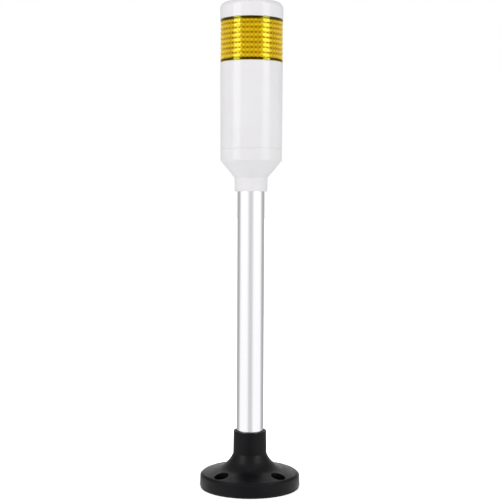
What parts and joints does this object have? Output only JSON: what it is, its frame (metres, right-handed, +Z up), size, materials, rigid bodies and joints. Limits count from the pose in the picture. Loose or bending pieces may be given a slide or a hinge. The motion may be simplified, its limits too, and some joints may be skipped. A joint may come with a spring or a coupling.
{
  "type": "stack light",
  "caption": "Single-tier stack light: ribbed amber lens and twist-off cap on a white head, carried by an aluminium tube on a round bolt-down foot.",
  "frame": {"origin": "middle of the face it stands on, on the axis of the tube", "axes": "+Z up along the tube; the front of the driver board faces -Y and the tube's screws are at the back, +Y"},
  "size_m": [0.0812, 0.0812, 0.391],
  "materials": {
    "black_foot": "satin",
    "black_rubber": "matte",
    "satin_aluminium": "satin",
    "white_housing": "gloss",
    "amber_lens": "gloss",
    "plated_screws": "satin",
    "inner_white": "satin",
    "circuit_board": "satin",
    "led_package": "satin",
    "black_component": "satin",
    "capacitor_sleeve": "gloss",
    "varistor_coat": "satin",
    "resistor_coat": "satin",
    "terminal_green": "satin",
    "gold_pins": "polished"
  },
  "bodies": {
    "stand": {"base_flange": "black_foot", "base_gasket": "black_rubber", "board_screw_1": "plated_screws", "board_screw_2": "plated_screws", "board_screw_3": "plated_screws", "body_tube": "white_housing", "bridge_rectifier": "black_component", "cap_hub": "inner_white", "collar_screw_left": "plated_screws", "collar_screw_right": "plated_screws", "driver_board": "circuit_board", "flasher_chip": "black_component", "head_plate": "inner_white", "head_plate_screw_1": "plated_screws", "head_plate_screw_2": "plated_screws", "head_plate_screw_3": "plated_screws", "hub_screw": "plated_screws", "led_base_board": "circuit_board", "led_board_1": "circuit_board", "led_board_2": "circuit_board", "led_board_3": "circuit_board", "led_board_4": "circuit_board", "led_mast": "inner_white", "led_row_1": "led_package", "led_row_2": "led_package", "led_row_3": "led_package", "led_row_4": "led_package", "lens": "amber_lens", "lens_seal": "black_rubber", "link_pins": "gold_pins", "link_socket": "black_component", "lower_housing": "white_housing", "mast_screw_1": "plated_screws", "mast_screw_2": "plated_screws", "neck_screw_left": "plated_screws", "neck_screw_right": "plated_screws", "pole_tube": "satin_aluminium", "regulator": "black_component", "resistors": "resistor_coat", "smoothing_capacitor": "capacitor_sleeve", "terminal_block": "terminal_green", "terminal_screw_1": "plated_screws", "terminal_screw_2": "plated_screws", "terminal_screw_3": "plated_screws", "terminal_screw_4": "plated_screws", "varistor": "varistor_coat", "wire_bush_foot": "black_rubber", "wire_bush_top": "black_rubber"},
    "cap": {"top_cap": "white_housing", "cap_seal": "black_rubber"}
  },
  "joints": [
    {"name": "cap_twist", "type": "hinge", "parent": "stand", "child": "cap", "pos_m": [0, 0, 0.385], "axis": [0, 0, 1], "range_deg": [0, 40]}
  ]
}
